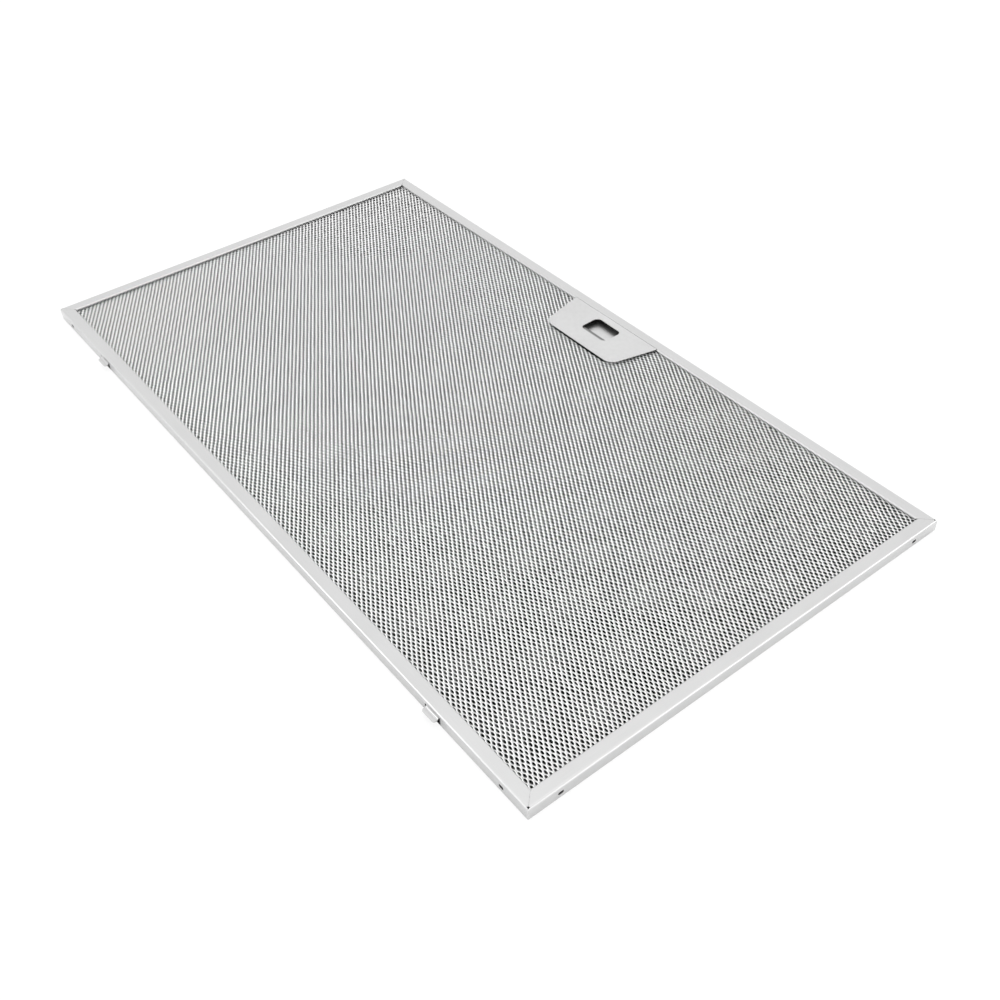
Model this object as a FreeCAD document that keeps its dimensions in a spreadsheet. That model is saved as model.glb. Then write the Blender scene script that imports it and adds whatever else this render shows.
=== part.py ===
"""Cooker hood grease filter: a mitred channel frame round a pack of expanded mesh, with a sprung latch.

X runs along the long side, Y from the hook side to the latch side, Z up from the face it lies on.
"""
import FreeCAD
import Part
import os
import Sketcher

# Driving dimensions, millimetres and degrees
DIMENSIONS = {
    # Frame: overall size and the section of its rolled strip
    "frame_length": 458.0,
    "frame_width": 260.0,
    "frame_height": 8.0,
    "strip_thickness": 0.6,
    "bend_radius": 1.3,
    "flange_width": 7.2,
    "lip_radius": 0.8,
    "lip_drop": 1.4,
    # Frame: mitred corners
    "seam_gap": 0.2,
    "relief_inset": 0.9,
    "relief_depth": 1.1,
    "relief_width": 1.3,
    "joint_gap": 0.8,
    "joint_height": 4.2,
    # Frame: drain slots in the wall
    "drain_length": 2.9,
    "drain_height": 1.8,
    "drain_corner": 0.5,
    "drain_inset": 17.2,
    "drain_level": 4.0,
    # Frame: hook tabs lanced out of the wall
    "hook_spacing": 329.0,
    "hook_width": 9.0,
    "hook_reach": 2.8,
    "hook_level": 4.4,
    "hook_bend": 1.0,
    "hook_root": 0.3,
    "hook_relief": 1.0,
    "hook_window_floor": 1.3,
    # Mesh pack
    "pack_clearance": 0.6,
    "layer_gap": 0.1,
    "face_mesh_height": 1.4,
    "mesh_hem_cover": 1.0,
    "strand_pitch": 2.535,
    "strand_run": 1.9,
    "strand_thickness": 0.4,
    "crimp_height": 0.6,
    "crimp_pitch": 7.0,
    "crimp_thickness": 0.25,
    # Latch plate with its finger opening
    "latch_offset": 1.95,
    "plate_back_width": 71.6,
    "plate_front_width": 57.5,
    "plate_depth": 30.6,
    "plate_thickness": 0.6,
    "plate_corner_radius": 7.0,
    "plate_seam": 0.1,
    "plate_side_gap": 0.3,
    "finger_length": 20.7,
    "finger_depth": 14.2,
    "finger_radius": 3.2,
    "finger_setback": 4.75,
    # Latch tray
    "tray_width": 40.0,
    "tray_wall": 0.6,
    "tray_inset": 2.0,
    "tray_corner_radius": 2.0,
    "tray_end_gap": 0.3,
    "tray_mesh_gap": 0.5,
    # Latch slider
    "slider_side_gap": 0.3,
    "slider_floor_gap": 0.15,
    "slider_stop_gap": 0.2,
    "slider_thickness": 0.8,
    "slider_lip_depth": 3.0,
    "slider_lip_setback": 0.4,
    "slider_lip_gap": 0.8,
    "slider_lip_radius": 0.6,
    "bolt_width": 22.0,
    "bolt_reach": 2.8,
    "bolt_ramp": 0.6,
    "bolt_slot_gap": 0.35,
    # Latch springs and the pegs that hold them
    "spring_spacing": 20.0,
    "spring_diameter": 2.6,
    "spring_wire": 0.4,
    "spring_turns": 3.0,
    "spring_seat_gap": 0.15,
    "spring_floor_gap": 0.2,
    "peg_diameter": 1.3,
    "peg_length": 2.0,
}

doc = FreeCAD.newDocument("grease_filter")
sizes = doc.addObject("Spreadsheet::Sheet", "sizes")
for row, (alias, size) in enumerate(DIMENSIONS.items(), 1):
    sizes.set(f"A{row}", alias)
    sizes.set(f"B{row}", str(size))
    sizes.setAlias(f"B{row}", alias)
doc.recompute()


class Expr(str):
    """An expression over the sheet's cells that can be added up like a number."""

    def __add__(self, other):
        return Expr(f"({self} + {other})")

    def __radd__(self, other):
        return Expr(f"({other} + {self})")

    def __sub__(self, other):
        return Expr(f"({self} - {other})")

    def __rsub__(self, other):
        return Expr(f"({other} - {self})")

    def __mul__(self, other):
        return Expr(f"({self} * {other})")

    def __truediv__(self, other):
        return Expr(f"({self} / {other})")

    def __neg__(self):
        return Expr(f"(0 - {self})")


def cell(alias):
    return Expr(f"{sizes.Name}.{alias}")


def value(expression):
    result = sizes.evalExpression(str(expression))
    return float(getattr(result, "Value", result))


# Bodies, sketches and features
def new_body(name):
    body = doc.addObject("PartDesign::Body", name)
    body.Label = name
    return body


def origin_feature(body, role):
    return next(item for item in body.Origin.OriginFeatures if item.Role == role)


def new_sketch(body, plane, name, offset=None):
    sketch = body.newObject("Sketcher::SketchObject", f"{body.Name}_{name}")
    sketch.AttachmentSupport = [(origin_feature(body, plane), "")]
    sketch.MapMode = "FlatFace"
    if offset is not None:
        sketch.setExpression("AttachmentOffset.Base.z", offset)
    return sketch


def bind(sketch, constraint, name, expression):
    index = sketch.addConstraint(constraint)
    sketch.renameConstraint(index, name)
    sketch.setExpression(f"Constraints.{name}", expression)


def pin_point(sketch, geometry, point, x, y, name):
    """Holds one point of a sketch at two expressions measured from the sketch's origin."""
    bind(sketch, Sketcher.Constraint("DistanceX", -1, 1, geometry, point, value(x)), f"{name}_x", x)
    bind(sketch, Sketcher.Constraint("DistanceY", -1, 1, geometry, point, value(y)), f"{name}_y", y)


def polygon(sketch, corners, name="corner"):
    """A closed outline of straight lines, each corner held by its two expressions."""
    points = [FreeCAD.Vector(value(x), value(y), 0) for x, y in corners]
    first = sketch.GeometryCount
    for start, end in zip(points, points[1:] + points[:1]):
        sketch.addGeometry(Part.LineSegment(start, end))
    for index in range(len(points)):
        following = first + (index + 1) % len(points)
        sketch.addConstraint(Sketcher.Constraint("Coincident", first + index, 2, following, 1))
    for index, (x, y) in enumerate(corners):
        pin_point(sketch, first + index, 1, x, y, f"{name}{first + index}")


def rectangle(sketch, left, right, bottom, top, name="corner"):
    polygon(sketch, [(left, bottom), (right, bottom), (right, top), (left, top)], name)


def circle(sketch, x, y, radius, name="hole"):
    centre = FreeCAD.Vector(value(x), value(y), 0)
    index = sketch.addGeometry(Part.Circle(centre, FreeCAD.Vector(0, 0, 1), value(radius)))
    pin_point(sketch, index, 3, x, y, name)
    bind(sketch, Sketcher.Constraint("Radius", index, value(radius)), f"{name}_radius", radius)


def rounded_outline(sketch, corners):
    """A closed outline of level and upright lines, with a tangent arc at each corner that has a radius."""
    points = [FreeCAD.Vector(value(x), value(y), 0) for x, y, _ in corners]
    radii = [value(radius) if radius is not None else 0.0 for _, _, radius in corners]
    count = len(corners)
    toward_next = [(points[(i + 1) % count] - points[i]).normalize() for i in range(count)]
    lines = []
    for i in range(count):
        start = points[i] + toward_next[i] * radii[i]
        end = points[(i + 1) % count] - toward_next[i] * radii[(i + 1) % count]
        lines.append(sketch.addGeometry(Part.LineSegment(start, end)))
    for i in range(count):
        before, after = lines[i - 1], lines[i]
        x, y, radius = corners[i]
        if radius is None:
            sketch.addConstraint(Sketcher.Constraint("Coincident", before, 2, after, 1))
        else:
            arrive, leave = toward_next[i - 1], toward_next[i]
            middle = points[i] + (leave - arrive) * radii[i] * (1 - 0.5 ** 0.5)
            start, end = points[i] - arrive * radii[i], points[i] + leave * radii[i]
            arc = sketch.addGeometry(Part.Arc(start, middle, end))
            turns_left = arrive.cross(leave).z > 0
            first, last = (1, 2) if turns_left else (2, 1)
            sketch.addConstraint(Sketcher.Constraint("Tangent", before, 2, arc, first))
            sketch.addConstraint(Sketcher.Constraint("Tangent", arc, last, after, 1))
            bind(sketch, Sketcher.Constraint("Radius", arc, radii[i]), f"radius{i}", radius)
        level = abs(toward_next[i].y) < 0.5
        sketch.addConstraint(Sketcher.Constraint("Horizontal" if level else "Vertical", after))
        held, kind = (y, "DistanceY") if level else (x, "DistanceX")
        bind(sketch, Sketcher.Constraint(kind, -1, 1, after, 1, value(held)), f"side{i}", held)


def extrude(body, kind, sketch, name, length, symmetric=False, reverse=False):
    feature = body.newObject(f"PartDesign::{kind}", f"{body.Name}_{name}")
    feature.Profile = sketch
    feature.SideType = "Symmetric" if symmetric else "One side"
    feature.Reversed = reverse
    feature.setExpression("Length", length)
    doc.recompute()
    return feature


def pad(body, sketch, name, length, symmetric=False, reverse=False):
    return extrude(body, "Pad", sketch, name, length, symmetric, reverse)


def pocket(body, sketch, name, length, symmetric=False, reverse=False):
    before = body.Shape.Volume
    feature = extrude(body, "Pocket", sketch, name, length, symmetric, reverse)
    if body.Shape.Volume >= before:
        raise RuntimeError(f"{feature.Name} cuts nothing")
    return feature


def mirrored(body, originals, roles, name):
    """Repeats features across the body's own origin planes."""
    mirrors = []
    for role in roles:
        mirror = body.newObject("PartDesign::Mirrored", f"{body.Name}_{name}_{role}")
        mirror.MirrorPlane = (origin_feature(body, role), [""])
        mirrors.append(mirror)
    if len(mirrors) == 1:
        mirrors[0].Originals = originals
        body.Tip = mirrors[0]
    else:
        both = body.newObject("PartDesign::MultiTransform", f"{body.Name}_{name}")
        both.Originals = originals
        both.Transformations = mirrors
        body.Tip = both
    doc.recompute()


def row_of(body, original, role, spacing, count, name):
    """Repeats one feature in a row along one of the body's own axes."""
    pattern = body.newObject("PartDesign::LinearPattern", f"{body.Name}_{name}")
    pattern.Originals = [original]
    pattern.Direction = (origin_feature(body, role), [""])
    pattern.Mode = "Spacing"
    pattern.setExpression("Offset", spacing)
    pattern.setExpression("Occurrences", count)
    body.Tip = pattern
    doc.recompute()


def round_edges(body, name, radius, wanted):
    """Rounds the edges of the body's tip for which wanted(edge) is true."""
    tip = body.Tip
    names = [f"Edge{i}" for i, edge in enumerate(tip.Shape.Edges, 1) if wanted(edge)]
    fillet = body.newObject("PartDesign::Fillet", f"{body.Name}_{name}")
    fillet.Base = (tip, names)
    fillet.setExpression("Radius", radius)
    doc.recompute()
    return fillet


def upright(edge):
    box = edge.BoundBox
    return box.ZLength > 1e-6 and box.XLength < 1e-6 and box.YLength < 1e-6


# Lines that several pieces share
half_length = cell("frame_length") / 2
half_width = cell("frame_width") / 2
strip = cell("strip_thickness")
inner_half_length = half_length - strip
inner_half_width = half_width - strip
aperture_half_length = half_length - cell("flange_width")
aperture_half_width = half_width - cell("flange_width")
flange_under = cell("frame_height") - strip
flange_edge = aperture_half_width + cell("lip_radius")
pack_half_length = inner_half_length - cell("pack_clearance")
pack_half_width = inner_half_width - cell("pack_clearance")
layer_step = cell("crimp_height") + cell("layer_gap")
lower_face_level = cell("lip_drop") + cell("layer_gap")
inner_lower_level = lower_face_level + cell("face_mesh_height") + cell("layer_gap")
inner_middle_level = inner_lower_level + layer_step
inner_upper_level = inner_middle_level + layer_step
upper_face_level = inner_upper_level + layer_step
latch_middle = cell("latch_offset")
plate_top = cell("frame_height")
plate_under = plate_top - cell("plate_thickness")
plate_back = flange_edge - cell("plate_seam")
plate_front = plate_back - cell("plate_depth")
finger_back = plate_back - cell("finger_setback")
finger_front = finger_back - cell("finger_depth")
tray_under = inner_lower_level
tray_floor = tray_under + cell("tray_wall")
tray_front = plate_front + cell("tray_inset")
tray_back = inner_half_width - cell("tray_end_gap")
tray_half_width = cell("tray_width") / 2
tray_inside_front = tray_front + cell("tray_wall")
tray_inside_half_width = tray_half_width - cell("tray_wall")
slider_under = tray_floor + cell("slider_floor_gap")
slider_top = slider_under + cell("slider_thickness")
slider_half_width = tray_inside_half_width - cell("slider_side_gap")
slider_front = finger_front + cell("slider_lip_setback")
slider_back = inner_half_width - cell("slider_stop_gap")
slider_lip_top = plate_under - cell("slider_lip_gap")
bolt_end = half_width + cell("bolt_reach")
bolt_half_width = cell("bolt_width") / 2
spring_axis_level = tray_floor + cell("spring_floor_gap") + cell("spring_diameter") / 2


def build_frame():
    """The channel strip, folded round the four corners, with its seams, slots and lanced hook tabs."""
    body = new_body("frame")
    path = new_sketch(body, "XY_Plane", "path")
    start = (Expr("0"), -half_width)
    corners = [(half_length, -half_width), (half_length, half_width),
               (-half_length, half_width), (-half_length, -half_width)]
    polygon(path, [start] + corners)
    section = new_sketch(body, "YZ_Plane", "section")
    outer, inner = -half_width, -inner_half_width
    lip, lip_back = -aperture_half_width, -(aperture_half_width + strip)
    top, under = cell("frame_height"), flange_under
    bend, inner_bend = cell("bend_radius"), cell("bend_radius") - strip
    curl, inner_curl = cell("lip_radius"), cell("lip_radius") - strip
    lip_end = top - cell("lip_drop")
    rounded_outline(section, [
        (lip, lip_end, None), (lip, top, curl), (outer, top, bend), (outer, Expr("0"), bend),
        (lip, Expr("0"), curl), (lip, cell("lip_drop"), None), (lip_back, cell("lip_drop"), None),
        (lip_back, strip, inner_curl), (inner, strip, inner_bend), (inner, under, inner_bend),
        (lip_back, under, inner_curl), (lip_back, lip_end, None),
    ])
    doc.recompute()
    channel = body.newObject("PartDesign::AdditivePipe", "frame_channel")
    channel.Profile = section
    channel.Spine = (path, [f"Edge{i + 1}" for i in range(len(corners) + 1)])
    channel.Transition = "Right corner"
    doc.recompute()
    cut_corners(body)
    cut_hooks(body)
    cut_latch_seat(body)
    return body


def cut_corners(body):
    """Mitre seams with a relief notch at each bend, drain slots, and the open joint of the strip's ends."""
    half_gap = cell("seam_gap") / 2 ** 1.5
    inset = cell("relief_inset")
    notch_end = inset + cell("relief_depth") / 2 ** 0.5
    notch_half = cell("relief_width") / 2 ** 1.5
    reach = cell("flange_width") + cell("seam_gap")
    depth = cell("lip_drop") + cell("seam_gap")
    repeated = []
    for side, level, reverse in (("top", cell("frame_height"), False), ("under", Expr("0"), True)):
        seam = new_sketch(body, "XY_Plane", f"seam_{side}", level)
        polygon(seam, [
            (half_length - inset - half_gap, half_width - inset + half_gap),
            (half_length - reach - half_gap, half_width - reach + half_gap),
            (half_length - reach + half_gap, half_width - reach - half_gap),
            (half_length - inset + half_gap, half_width - inset - half_gap),
        ])
        repeated.append(pocket(body, seam, f"seam_cut_{side}", depth, reverse=reverse))
        relief = new_sketch(body, "XY_Plane", f"relief_{side}", level)
        polygon(relief, [
            (half_length - inset - notch_half, half_width - inset + notch_half),
            (half_length - notch_end, half_width - notch_end),
            (half_length - inset + notch_half, half_width - inset - notch_half),
        ])
        repeated.append(pocket(body, relief, f"relief_cut_{side}", cell("bend_radius"), reverse=reverse))
    for wall, plane, along, across in (("long", "XZ_Plane", half_length, half_width - strip / 2),
                                       ("short", "YZ_Plane", half_width, half_length - strip / 2)):
        offset = -across if wall == "long" else across
        slot = new_sketch(body, plane, f"drain_{wall}", offset)
        middle, reach_out = along - cell("drain_inset"), cell("drain_length") / 2
        level, half_height = cell("drain_level"), cell("drain_height") / 2
        short_reach, short_height = reach_out - cell("drain_corner"), half_height - cell("drain_corner")
        polygon(slot, [
            (middle - short_reach, level - half_height), (middle + short_reach, level - half_height),
            (middle + reach_out, level - short_height), (middle + reach_out, level + short_height),
            (middle + short_reach, level + half_height), (middle - short_reach, level + half_height),
            (middle - reach_out, level + short_height), (middle - reach_out, level - short_height),
        ])
        repeated.append(pocket(body, slot, f"drain_cut_{wall}", strip * 3, symmetric=True))
    mirrored(body, repeated, ["YZ_Plane", "XZ_Plane"], "corners")
    joint = new_sketch(body, "XY_Plane", "joint")
    gap, wall = cell("joint_gap"), strip * 2
    polygon(joint, [
        (-half_length - gap, -half_width - gap), (-half_length + gap, -half_width - gap),
        (-half_length + gap, -half_width + wall), (-half_length - gap, -half_width + wall),
    ])
    pocket(body, joint, "joint_cut", cell("joint_height"), reverse=True)


def cut_hooks(body):
    """Two tongues cut on three sides in the hook wall and bent out level."""
    middle = cell("hook_spacing") / 2
    tongue, opening = cell("hook_width") / 2, cell("hook_width") / 2 + cell("hook_relief")
    bend = cell("hook_bend")
    window_top = cell("hook_level") + bend + cell("hook_root")
    window = new_sketch(body, "XZ_Plane", "hook_window", half_width - strip / 2)
    rectangle(window, middle - opening, middle + opening, cell("hook_window_floor"), window_top)
    opened = pocket(body, window, "hook_window_cut", strip * 3, symmetric=True)
    section = new_sketch(body, "YZ_Plane", "hook_section", middle)
    face, back = -half_width, -inner_half_width
    end = -half_width - cell("hook_reach")
    level = cell("hook_level")
    rounded_outline(section, [
        (face, window_top, None), (face, level, bend), (end, level, None), (end, level - strip, None),
        (back, level - strip, bend + strip), (back, window_top, None),
    ])
    bent = pad(body, section, "hook_tongue", tongue * 2, symmetric=True)
    mirrored(body, [opened, bent], ["YZ_Plane"], "hooks")


def cut_latch_seat(body):
    """The slot that the bolt passes and the stretch of lip that gives way to the latch plate."""
    slot = new_sketch(body, "XZ_Plane", "bolt_slot", -(half_width - strip / 2))
    gap = cell("bolt_slot_gap")
    rectangle(slot, latch_middle - bolt_half_width - gap, latch_middle + bolt_half_width + gap,
              slider_under - gap, slider_top + gap)
    pocket(body, slot, "bolt_slot_cut", strip * 3, symmetric=True)
    seat = new_sketch(body, "XY_Plane", "plate_seat", cell("frame_height"))
    reach = cell("plate_back_width") / 2 + cell("plate_side_gap")
    rectangle(seat, latch_middle - reach, latch_middle + reach, aperture_half_width - strip, flange_edge)
    pocket(body, seat, "plate_seat_cut", cell("lip_drop") + strip)


def cut_latch_bay(body, level, height):
    """Clears a mesh layer where the latch tray stands."""
    bay = new_sketch(body, "XY_Plane", "latch_bay", level - cell("layer_gap"))
    reach = tray_half_width + cell("tray_mesh_gap")
    rectangle(bay, latch_middle - reach, latch_middle + reach,
              tray_front - cell("tray_mesh_gap"), half_width)
    pocket(body, bay, "latch_bay_cut", height + cell("layer_gap") * 2, reverse=True)


def build_face_mesh(name, level, facing, latch_bay):
    """An expanded mesh sheet: a flattened hem round rows of tilted strands with an open gap between rows."""
    body = new_body(name)
    hem = new_sketch(body, "XY_Plane", "hem", level)
    inside_half_length = aperture_half_length + cell("mesh_hem_cover")
    inside_half_width = aperture_half_width + cell("mesh_hem_cover")
    rectangle(hem, -pack_half_length, pack_half_length, -pack_half_width, pack_half_width)
    rectangle(hem, -inside_half_length, inside_half_length, -inside_half_width, inside_half_width, "inside")
    height = cell("face_mesh_height")
    pad(body, hem, "hem_ring", height)
    rows = Expr(f"floor({inside_half_width * 2} / {cell('strand_pitch')})")
    first = -(cell("strand_pitch") * (rows - 1) + cell("strand_run")) / 2
    low, high = level, level + height - cell("strand_thickness")
    near, far = (high, low) if facing > 0 else (low, high)
    strand = new_sketch(body, "YZ_Plane", "strand")
    polygon(strand, [
        (first, near), (first + cell("strand_run"), far),
        (first + cell("strand_run"), far + cell("strand_thickness")), (first, near + cell("strand_thickness")),
    ])
    blade = pad(body, strand, "strand_blade", inside_half_length * 2 + cell("strand_run"), symmetric=True)
    row_of(body, blade, "Y_Axis", cell("strand_pitch"), rows, "strands")
    if latch_bay:
        cut_latch_bay(body, level, height)
    return body


def build_crimped_mesh(name, level, plane, axis):
    """A crimped mesh sheet, folded to even ridges that run across one axis."""
    body = new_body(name)
    along, across = pack_half_length, pack_half_width
    if axis == "Y_Axis":
        along, across = across, along
    pitch, sheet = cell("crimp_pitch"), cell("crimp_thickness")
    count = Expr(f"floor({along * 2} / {pitch})")
    start = -(pitch * count) / 2
    valley, ridge = level, level + cell("crimp_height") - sheet
    fold = new_sketch(body, plane, "fold")
    polygon(fold, [
        (start, valley), (start + pitch / 2, ridge), (start + pitch, valley),
        (start + pitch, valley + sheet), (start + pitch / 2, ridge + sheet), (start, valley + sheet),
    ])
    ridge_pad = pad(body, fold, "ridge", across * 2, symmetric=True)
    row_of(body, ridge_pad, axis, pitch, count, "ridges")
    cut_latch_bay(body, level, cell("crimp_height"))
    return body


def build_latch_plate():
    """Flat trapezoid plate, flush with the flange, with rounded front corners and the finger opening."""
    body = new_body("latch_plate")
    outline = new_sketch(body, "XY_Plane", "outline", plate_under)
    back, front = cell("plate_back_width") / 2, cell("plate_front_width") / 2
    polygon(outline, [
        (latch_middle - front, plate_front), (latch_middle + front, plate_front),
        (latch_middle + back, plate_back), (latch_middle - back, plate_back),
    ])
    pad(body, outline, "sheet", cell("plate_thickness"))
    finger = new_sketch(body, "XY_Plane", "finger", plate_top)
    reach, radius = cell("finger_length") / 2, cell("finger_radius")
    rounded_outline(finger, [
        (latch_middle - reach, finger_front, radius), (latch_middle + reach, finger_front, radius),
        (latch_middle + reach, finger_back, radius), (latch_middle - reach, finger_back, radius),
    ])
    pocket(body, finger, "finger_cut", cell("plate_thickness"))
    front_line = value(plate_front)
    round_edges(body, "front_corners", cell("plate_corner_radius"),
                lambda edge: upright(edge) and abs(edge.BoundBox.YMin - front_line) < 1e-3)
    return body


def build_latch_tray():
    """Shallow pressed tray, open at the frame's side, that carries the slider and its springs."""
    body = new_body("latch_tray")
    outline = new_sketch(body, "XY_Plane", "outline", tray_under)
    rectangle(outline, latch_middle - tray_half_width, latch_middle + tray_half_width, tray_front, tray_back)
    pad(body, outline, "block", plate_under - tray_under)
    front_line = value(tray_front)
    round_edges(body, "front_corners", cell("tray_corner_radius"),
                lambda edge: upright(edge) and abs(edge.BoundBox.YMin - front_line) < 1e-3)
    hollow = new_sketch(body, "XY_Plane", "hollow", plate_under)
    inside = tray_inside_half_width
    radius = cell("tray_corner_radius") - cell("tray_wall")
    rounded_outline(hollow, [
        (latch_middle - inside, tray_inside_front, radius), (latch_middle + inside, tray_inside_front, radius),
        (latch_middle + inside, half_width, None), (latch_middle - inside, half_width, None),
    ])
    pocket(body, hollow, "hollow_cut", plate_under - tray_floor)
    return body


def build_latch_slider():
    """The slider: a flat floor with a pull lip and spring pegs at one end and the ramped bolt at the other."""
    body = new_body("latch_slider")
    outline = new_sketch(body, "XY_Plane", "outline", slider_under)
    left, right = latch_middle - slider_half_width, latch_middle + slider_half_width
    bolt_left, bolt_right = latch_middle - bolt_half_width, latch_middle + bolt_half_width
    polygon(outline, [
        (left, slider_front), (right, slider_front), (right, slider_back), (bolt_right, slider_back),
        (bolt_right, bolt_end), (bolt_left, bolt_end), (bolt_left, slider_back), (left, slider_back),
    ])
    pad(body, outline, "floor", cell("slider_thickness"))
    lip = new_sketch(body, "XY_Plane", "lip", slider_under)
    rectangle(lip, left, right, slider_front, slider_front + cell("slider_lip_depth"))
    pad(body, lip, "pull_lip", slider_lip_top - slider_under)
    ramp = new_sketch(body, "YZ_Plane", "ramp", latch_middle)
    size = cell("bolt_ramp")
    polygon(ramp, [(bolt_end - size, slider_under), (bolt_end, slider_under), (bolt_end, slider_under + size)])
    pocket(body, ramp, "ramp_cut", cell("bolt_width") + size, symmetric=True)
    pegs = new_sketch(body, "XZ_Plane", "pegs", -slider_front)
    for side in (-1, 1):
        middle = latch_middle + cell("spring_spacing") / 2 * side
        circle(pegs, middle, spring_axis_level, cell("peg_diameter") / 2, "left" if side < 0 else "right")
    pad(body, pegs, "spring_pegs", cell("peg_length"))
    top, lip_back = value(slider_lip_top), value(slider_front + cell("slider_lip_depth"))
    round_edges(body, "lip_edge", cell("slider_lip_radius"),
                lambda edge: edge.BoundBox.ZMin > top - 1e-3 and edge.BoundBox.XLength > 1
                and abs(edge.BoundBox.YMin - lip_back) < 1e-3)
    return body


def build_spring(name, side):
    """A compression spring of square wire along the slide, between the tray's front wall and the pull lip."""
    body = new_body(name)
    wire = cell("spring_wire")
    near = tray_inside_front + cell("spring_seat_gap") + wire / 2
    far = slider_front - cell("spring_seat_gap") - wire / 2
    section = new_sketch(body, "YZ_Plane", "section", latch_middle + cell("spring_spacing") / 2 * side)
    outer = spring_axis_level + cell("spring_diameter") / 2
    rectangle(section, near - wire / 2, near + wire / 2, outer - wire, outer)
    coil = body.newObject("PartDesign::AdditiveHelix", f"{name}_coil")
    coil.Profile = section
    coil.Mode = "height-turns-angle"
    axis = section.addGeometry(Part.LineSegment(FreeCAD.Vector(0, value(spring_axis_level), 0),
                                                FreeCAD.Vector(1, value(spring_axis_level), 0)), True)
    section.addConstraint(Sketcher.Constraint("Horizontal", axis))
    pin_point(section, axis, 1, Expr("0"), spring_axis_level, "axis")
    doc.recompute()
    coil.ReferenceAxis = (section, ["Axis0"])
    coil.setExpression("Height", far - near)
    coil.setExpression("Turns", cell("spring_turns"))
    doc.recompute()
    return body


PIECES = [
    build_frame(),
    build_face_mesh("lower_face_mesh", lower_face_level, -1, False),
    build_crimped_mesh("inner_mesh_lower", inner_lower_level, "XZ_Plane", "X_Axis"),
    build_crimped_mesh("inner_mesh_middle", inner_middle_level, "YZ_Plane", "Y_Axis"),
    build_crimped_mesh("inner_mesh_upper", inner_upper_level, "XZ_Plane", "X_Axis"),
    build_face_mesh("upper_face_mesh", upper_face_level, 1, True),
    build_latch_plate(),
    build_latch_tray(),
    build_latch_slider(),
    build_spring("latch_spring_left", -1),
    build_spring("latch_spring_right", 1),
]
doc.recompute()

# Every object has to have computed before anything is written
failed = [item.Name for item in doc.Objects if "Invalid" in item.State or "Error" in item.State]
if failed:
    raise RuntimeError(f"failed objects: {failed}")
os.makedirs("parts", exist_ok=True)
for piece in PIECES:
    if piece.Shape.isNull() or not piece.Shape.isValid():
        raise RuntimeError(f"{piece.Label} has no valid shape")
    piece.Shape.exportStep(f"parts/{piece.Label}.step")
    print(piece.Label, len(piece.Shape.Solids), "solid", round(piece.Shape.Volume, 1), "mm3")
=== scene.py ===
"""Looks of a cooker hood grease filter: rolled frame, expanded mesh faces and a sprung slide latch."""
import math

import bmesh
import bpy
import numpy as np
from mathutils import Matrix, Vector


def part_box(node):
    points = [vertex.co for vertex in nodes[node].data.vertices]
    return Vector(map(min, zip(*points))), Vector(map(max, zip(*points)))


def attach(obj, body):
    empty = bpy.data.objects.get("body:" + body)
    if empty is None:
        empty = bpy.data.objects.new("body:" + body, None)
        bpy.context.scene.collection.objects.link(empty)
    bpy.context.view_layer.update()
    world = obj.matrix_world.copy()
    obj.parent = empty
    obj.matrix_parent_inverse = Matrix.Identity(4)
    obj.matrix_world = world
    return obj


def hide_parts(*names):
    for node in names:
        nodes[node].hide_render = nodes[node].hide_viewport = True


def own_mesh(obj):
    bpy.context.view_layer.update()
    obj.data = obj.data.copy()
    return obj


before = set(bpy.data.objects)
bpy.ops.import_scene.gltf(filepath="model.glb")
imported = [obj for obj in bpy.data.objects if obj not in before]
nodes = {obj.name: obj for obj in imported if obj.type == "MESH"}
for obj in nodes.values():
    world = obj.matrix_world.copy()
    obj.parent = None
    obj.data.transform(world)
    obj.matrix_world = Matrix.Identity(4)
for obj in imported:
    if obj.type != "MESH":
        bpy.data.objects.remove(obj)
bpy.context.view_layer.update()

MM = 0.001

# Camera
CAMERA_PLACE = Vector((429.35, -292.41, 414.52)) * MM
CAMERA_AIM = Vector((81.04, -27.28, 8.0)) * MM
CAMERA_ROLL = math.radians(-1.4625)
CAMERA_LENS = 42.577
CAMERA_SENSOR = 36.0
CAMERA_NEAR = 0.01

# Floor, metres, with the share of plain white in what is seen of it
FLOOR_SIZE = 8.0
FLOOR_TONE = 0.93
FLOOR_WHITE = 0.85

# Surroundings: elevation in degrees and level
SKY = [(0, 1.3), (30, 1.32), (57, 1.42), (90, 2.1)]

# Soft lamps: direction from the object, width and height in metres, and brightness
LAMP_DISTANCE = 1.3
LAMPS = {
    "right_low": ((0.84, 0.47, 0.28), 0.9, 0.35, 2.5),
    "front_low": ((-0.45, -0.85, 0.30), 0.6, 0.4, 2.8),
}

# Rolled strip of the frame, millimetres
HALF_LENGTH = 229.0
HALF_WIDTH = 130.0
FRAME_HEIGHT = 8.0
STRIP = 0.6
BEND_RADIUS = 1.3
FLANGE_WIDTH = 7.2
LIP_RADIUS = 0.8
LIP_DROP = 1.4
BEND_STEPS = 10
CORNER_STEPS = 6

# Mitred corners: half of the opening at the seam, at the bend and at the lip
SEAM_HALF = 0.05
RELIEF_HALF = 0.95
LIP_OPEN = 0.6
RELIEF_SHARES = (0.0, 0.3, 0.5)

# Openings in the frame
CUT_DEPTH = 3 * STRIP
WINDOW_RADIUS = 0.3
NOTCH_RADIUS = 0.05
DRAIN_LENGTH = 2.9
DRAIN_HEIGHT = 1.8
DRAIN_RADIUS = 0.8
DRAIN_INSET = 17.2
DRAIN_LEVEL = 4.0
JOINT_GAP = 0.8
JOINT_HEIGHT = 4.2
BOLT_SLOT_GAP = 0.35
SEAT_GAP = 0.3

# Hook tabs
HOOK_MIDDLE = 164.5
HOOK_WIDTH = 9.0
HOOK_REACH = 2.8
HOOK_LEVEL = 4.4
HOOK_BEND = 1.0
HOOK_TOP = 5.7
HOOK_RELIEF = 1.0
HOOK_FLOOR = 1.3
HOOK_CORNER = 1.2

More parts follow.
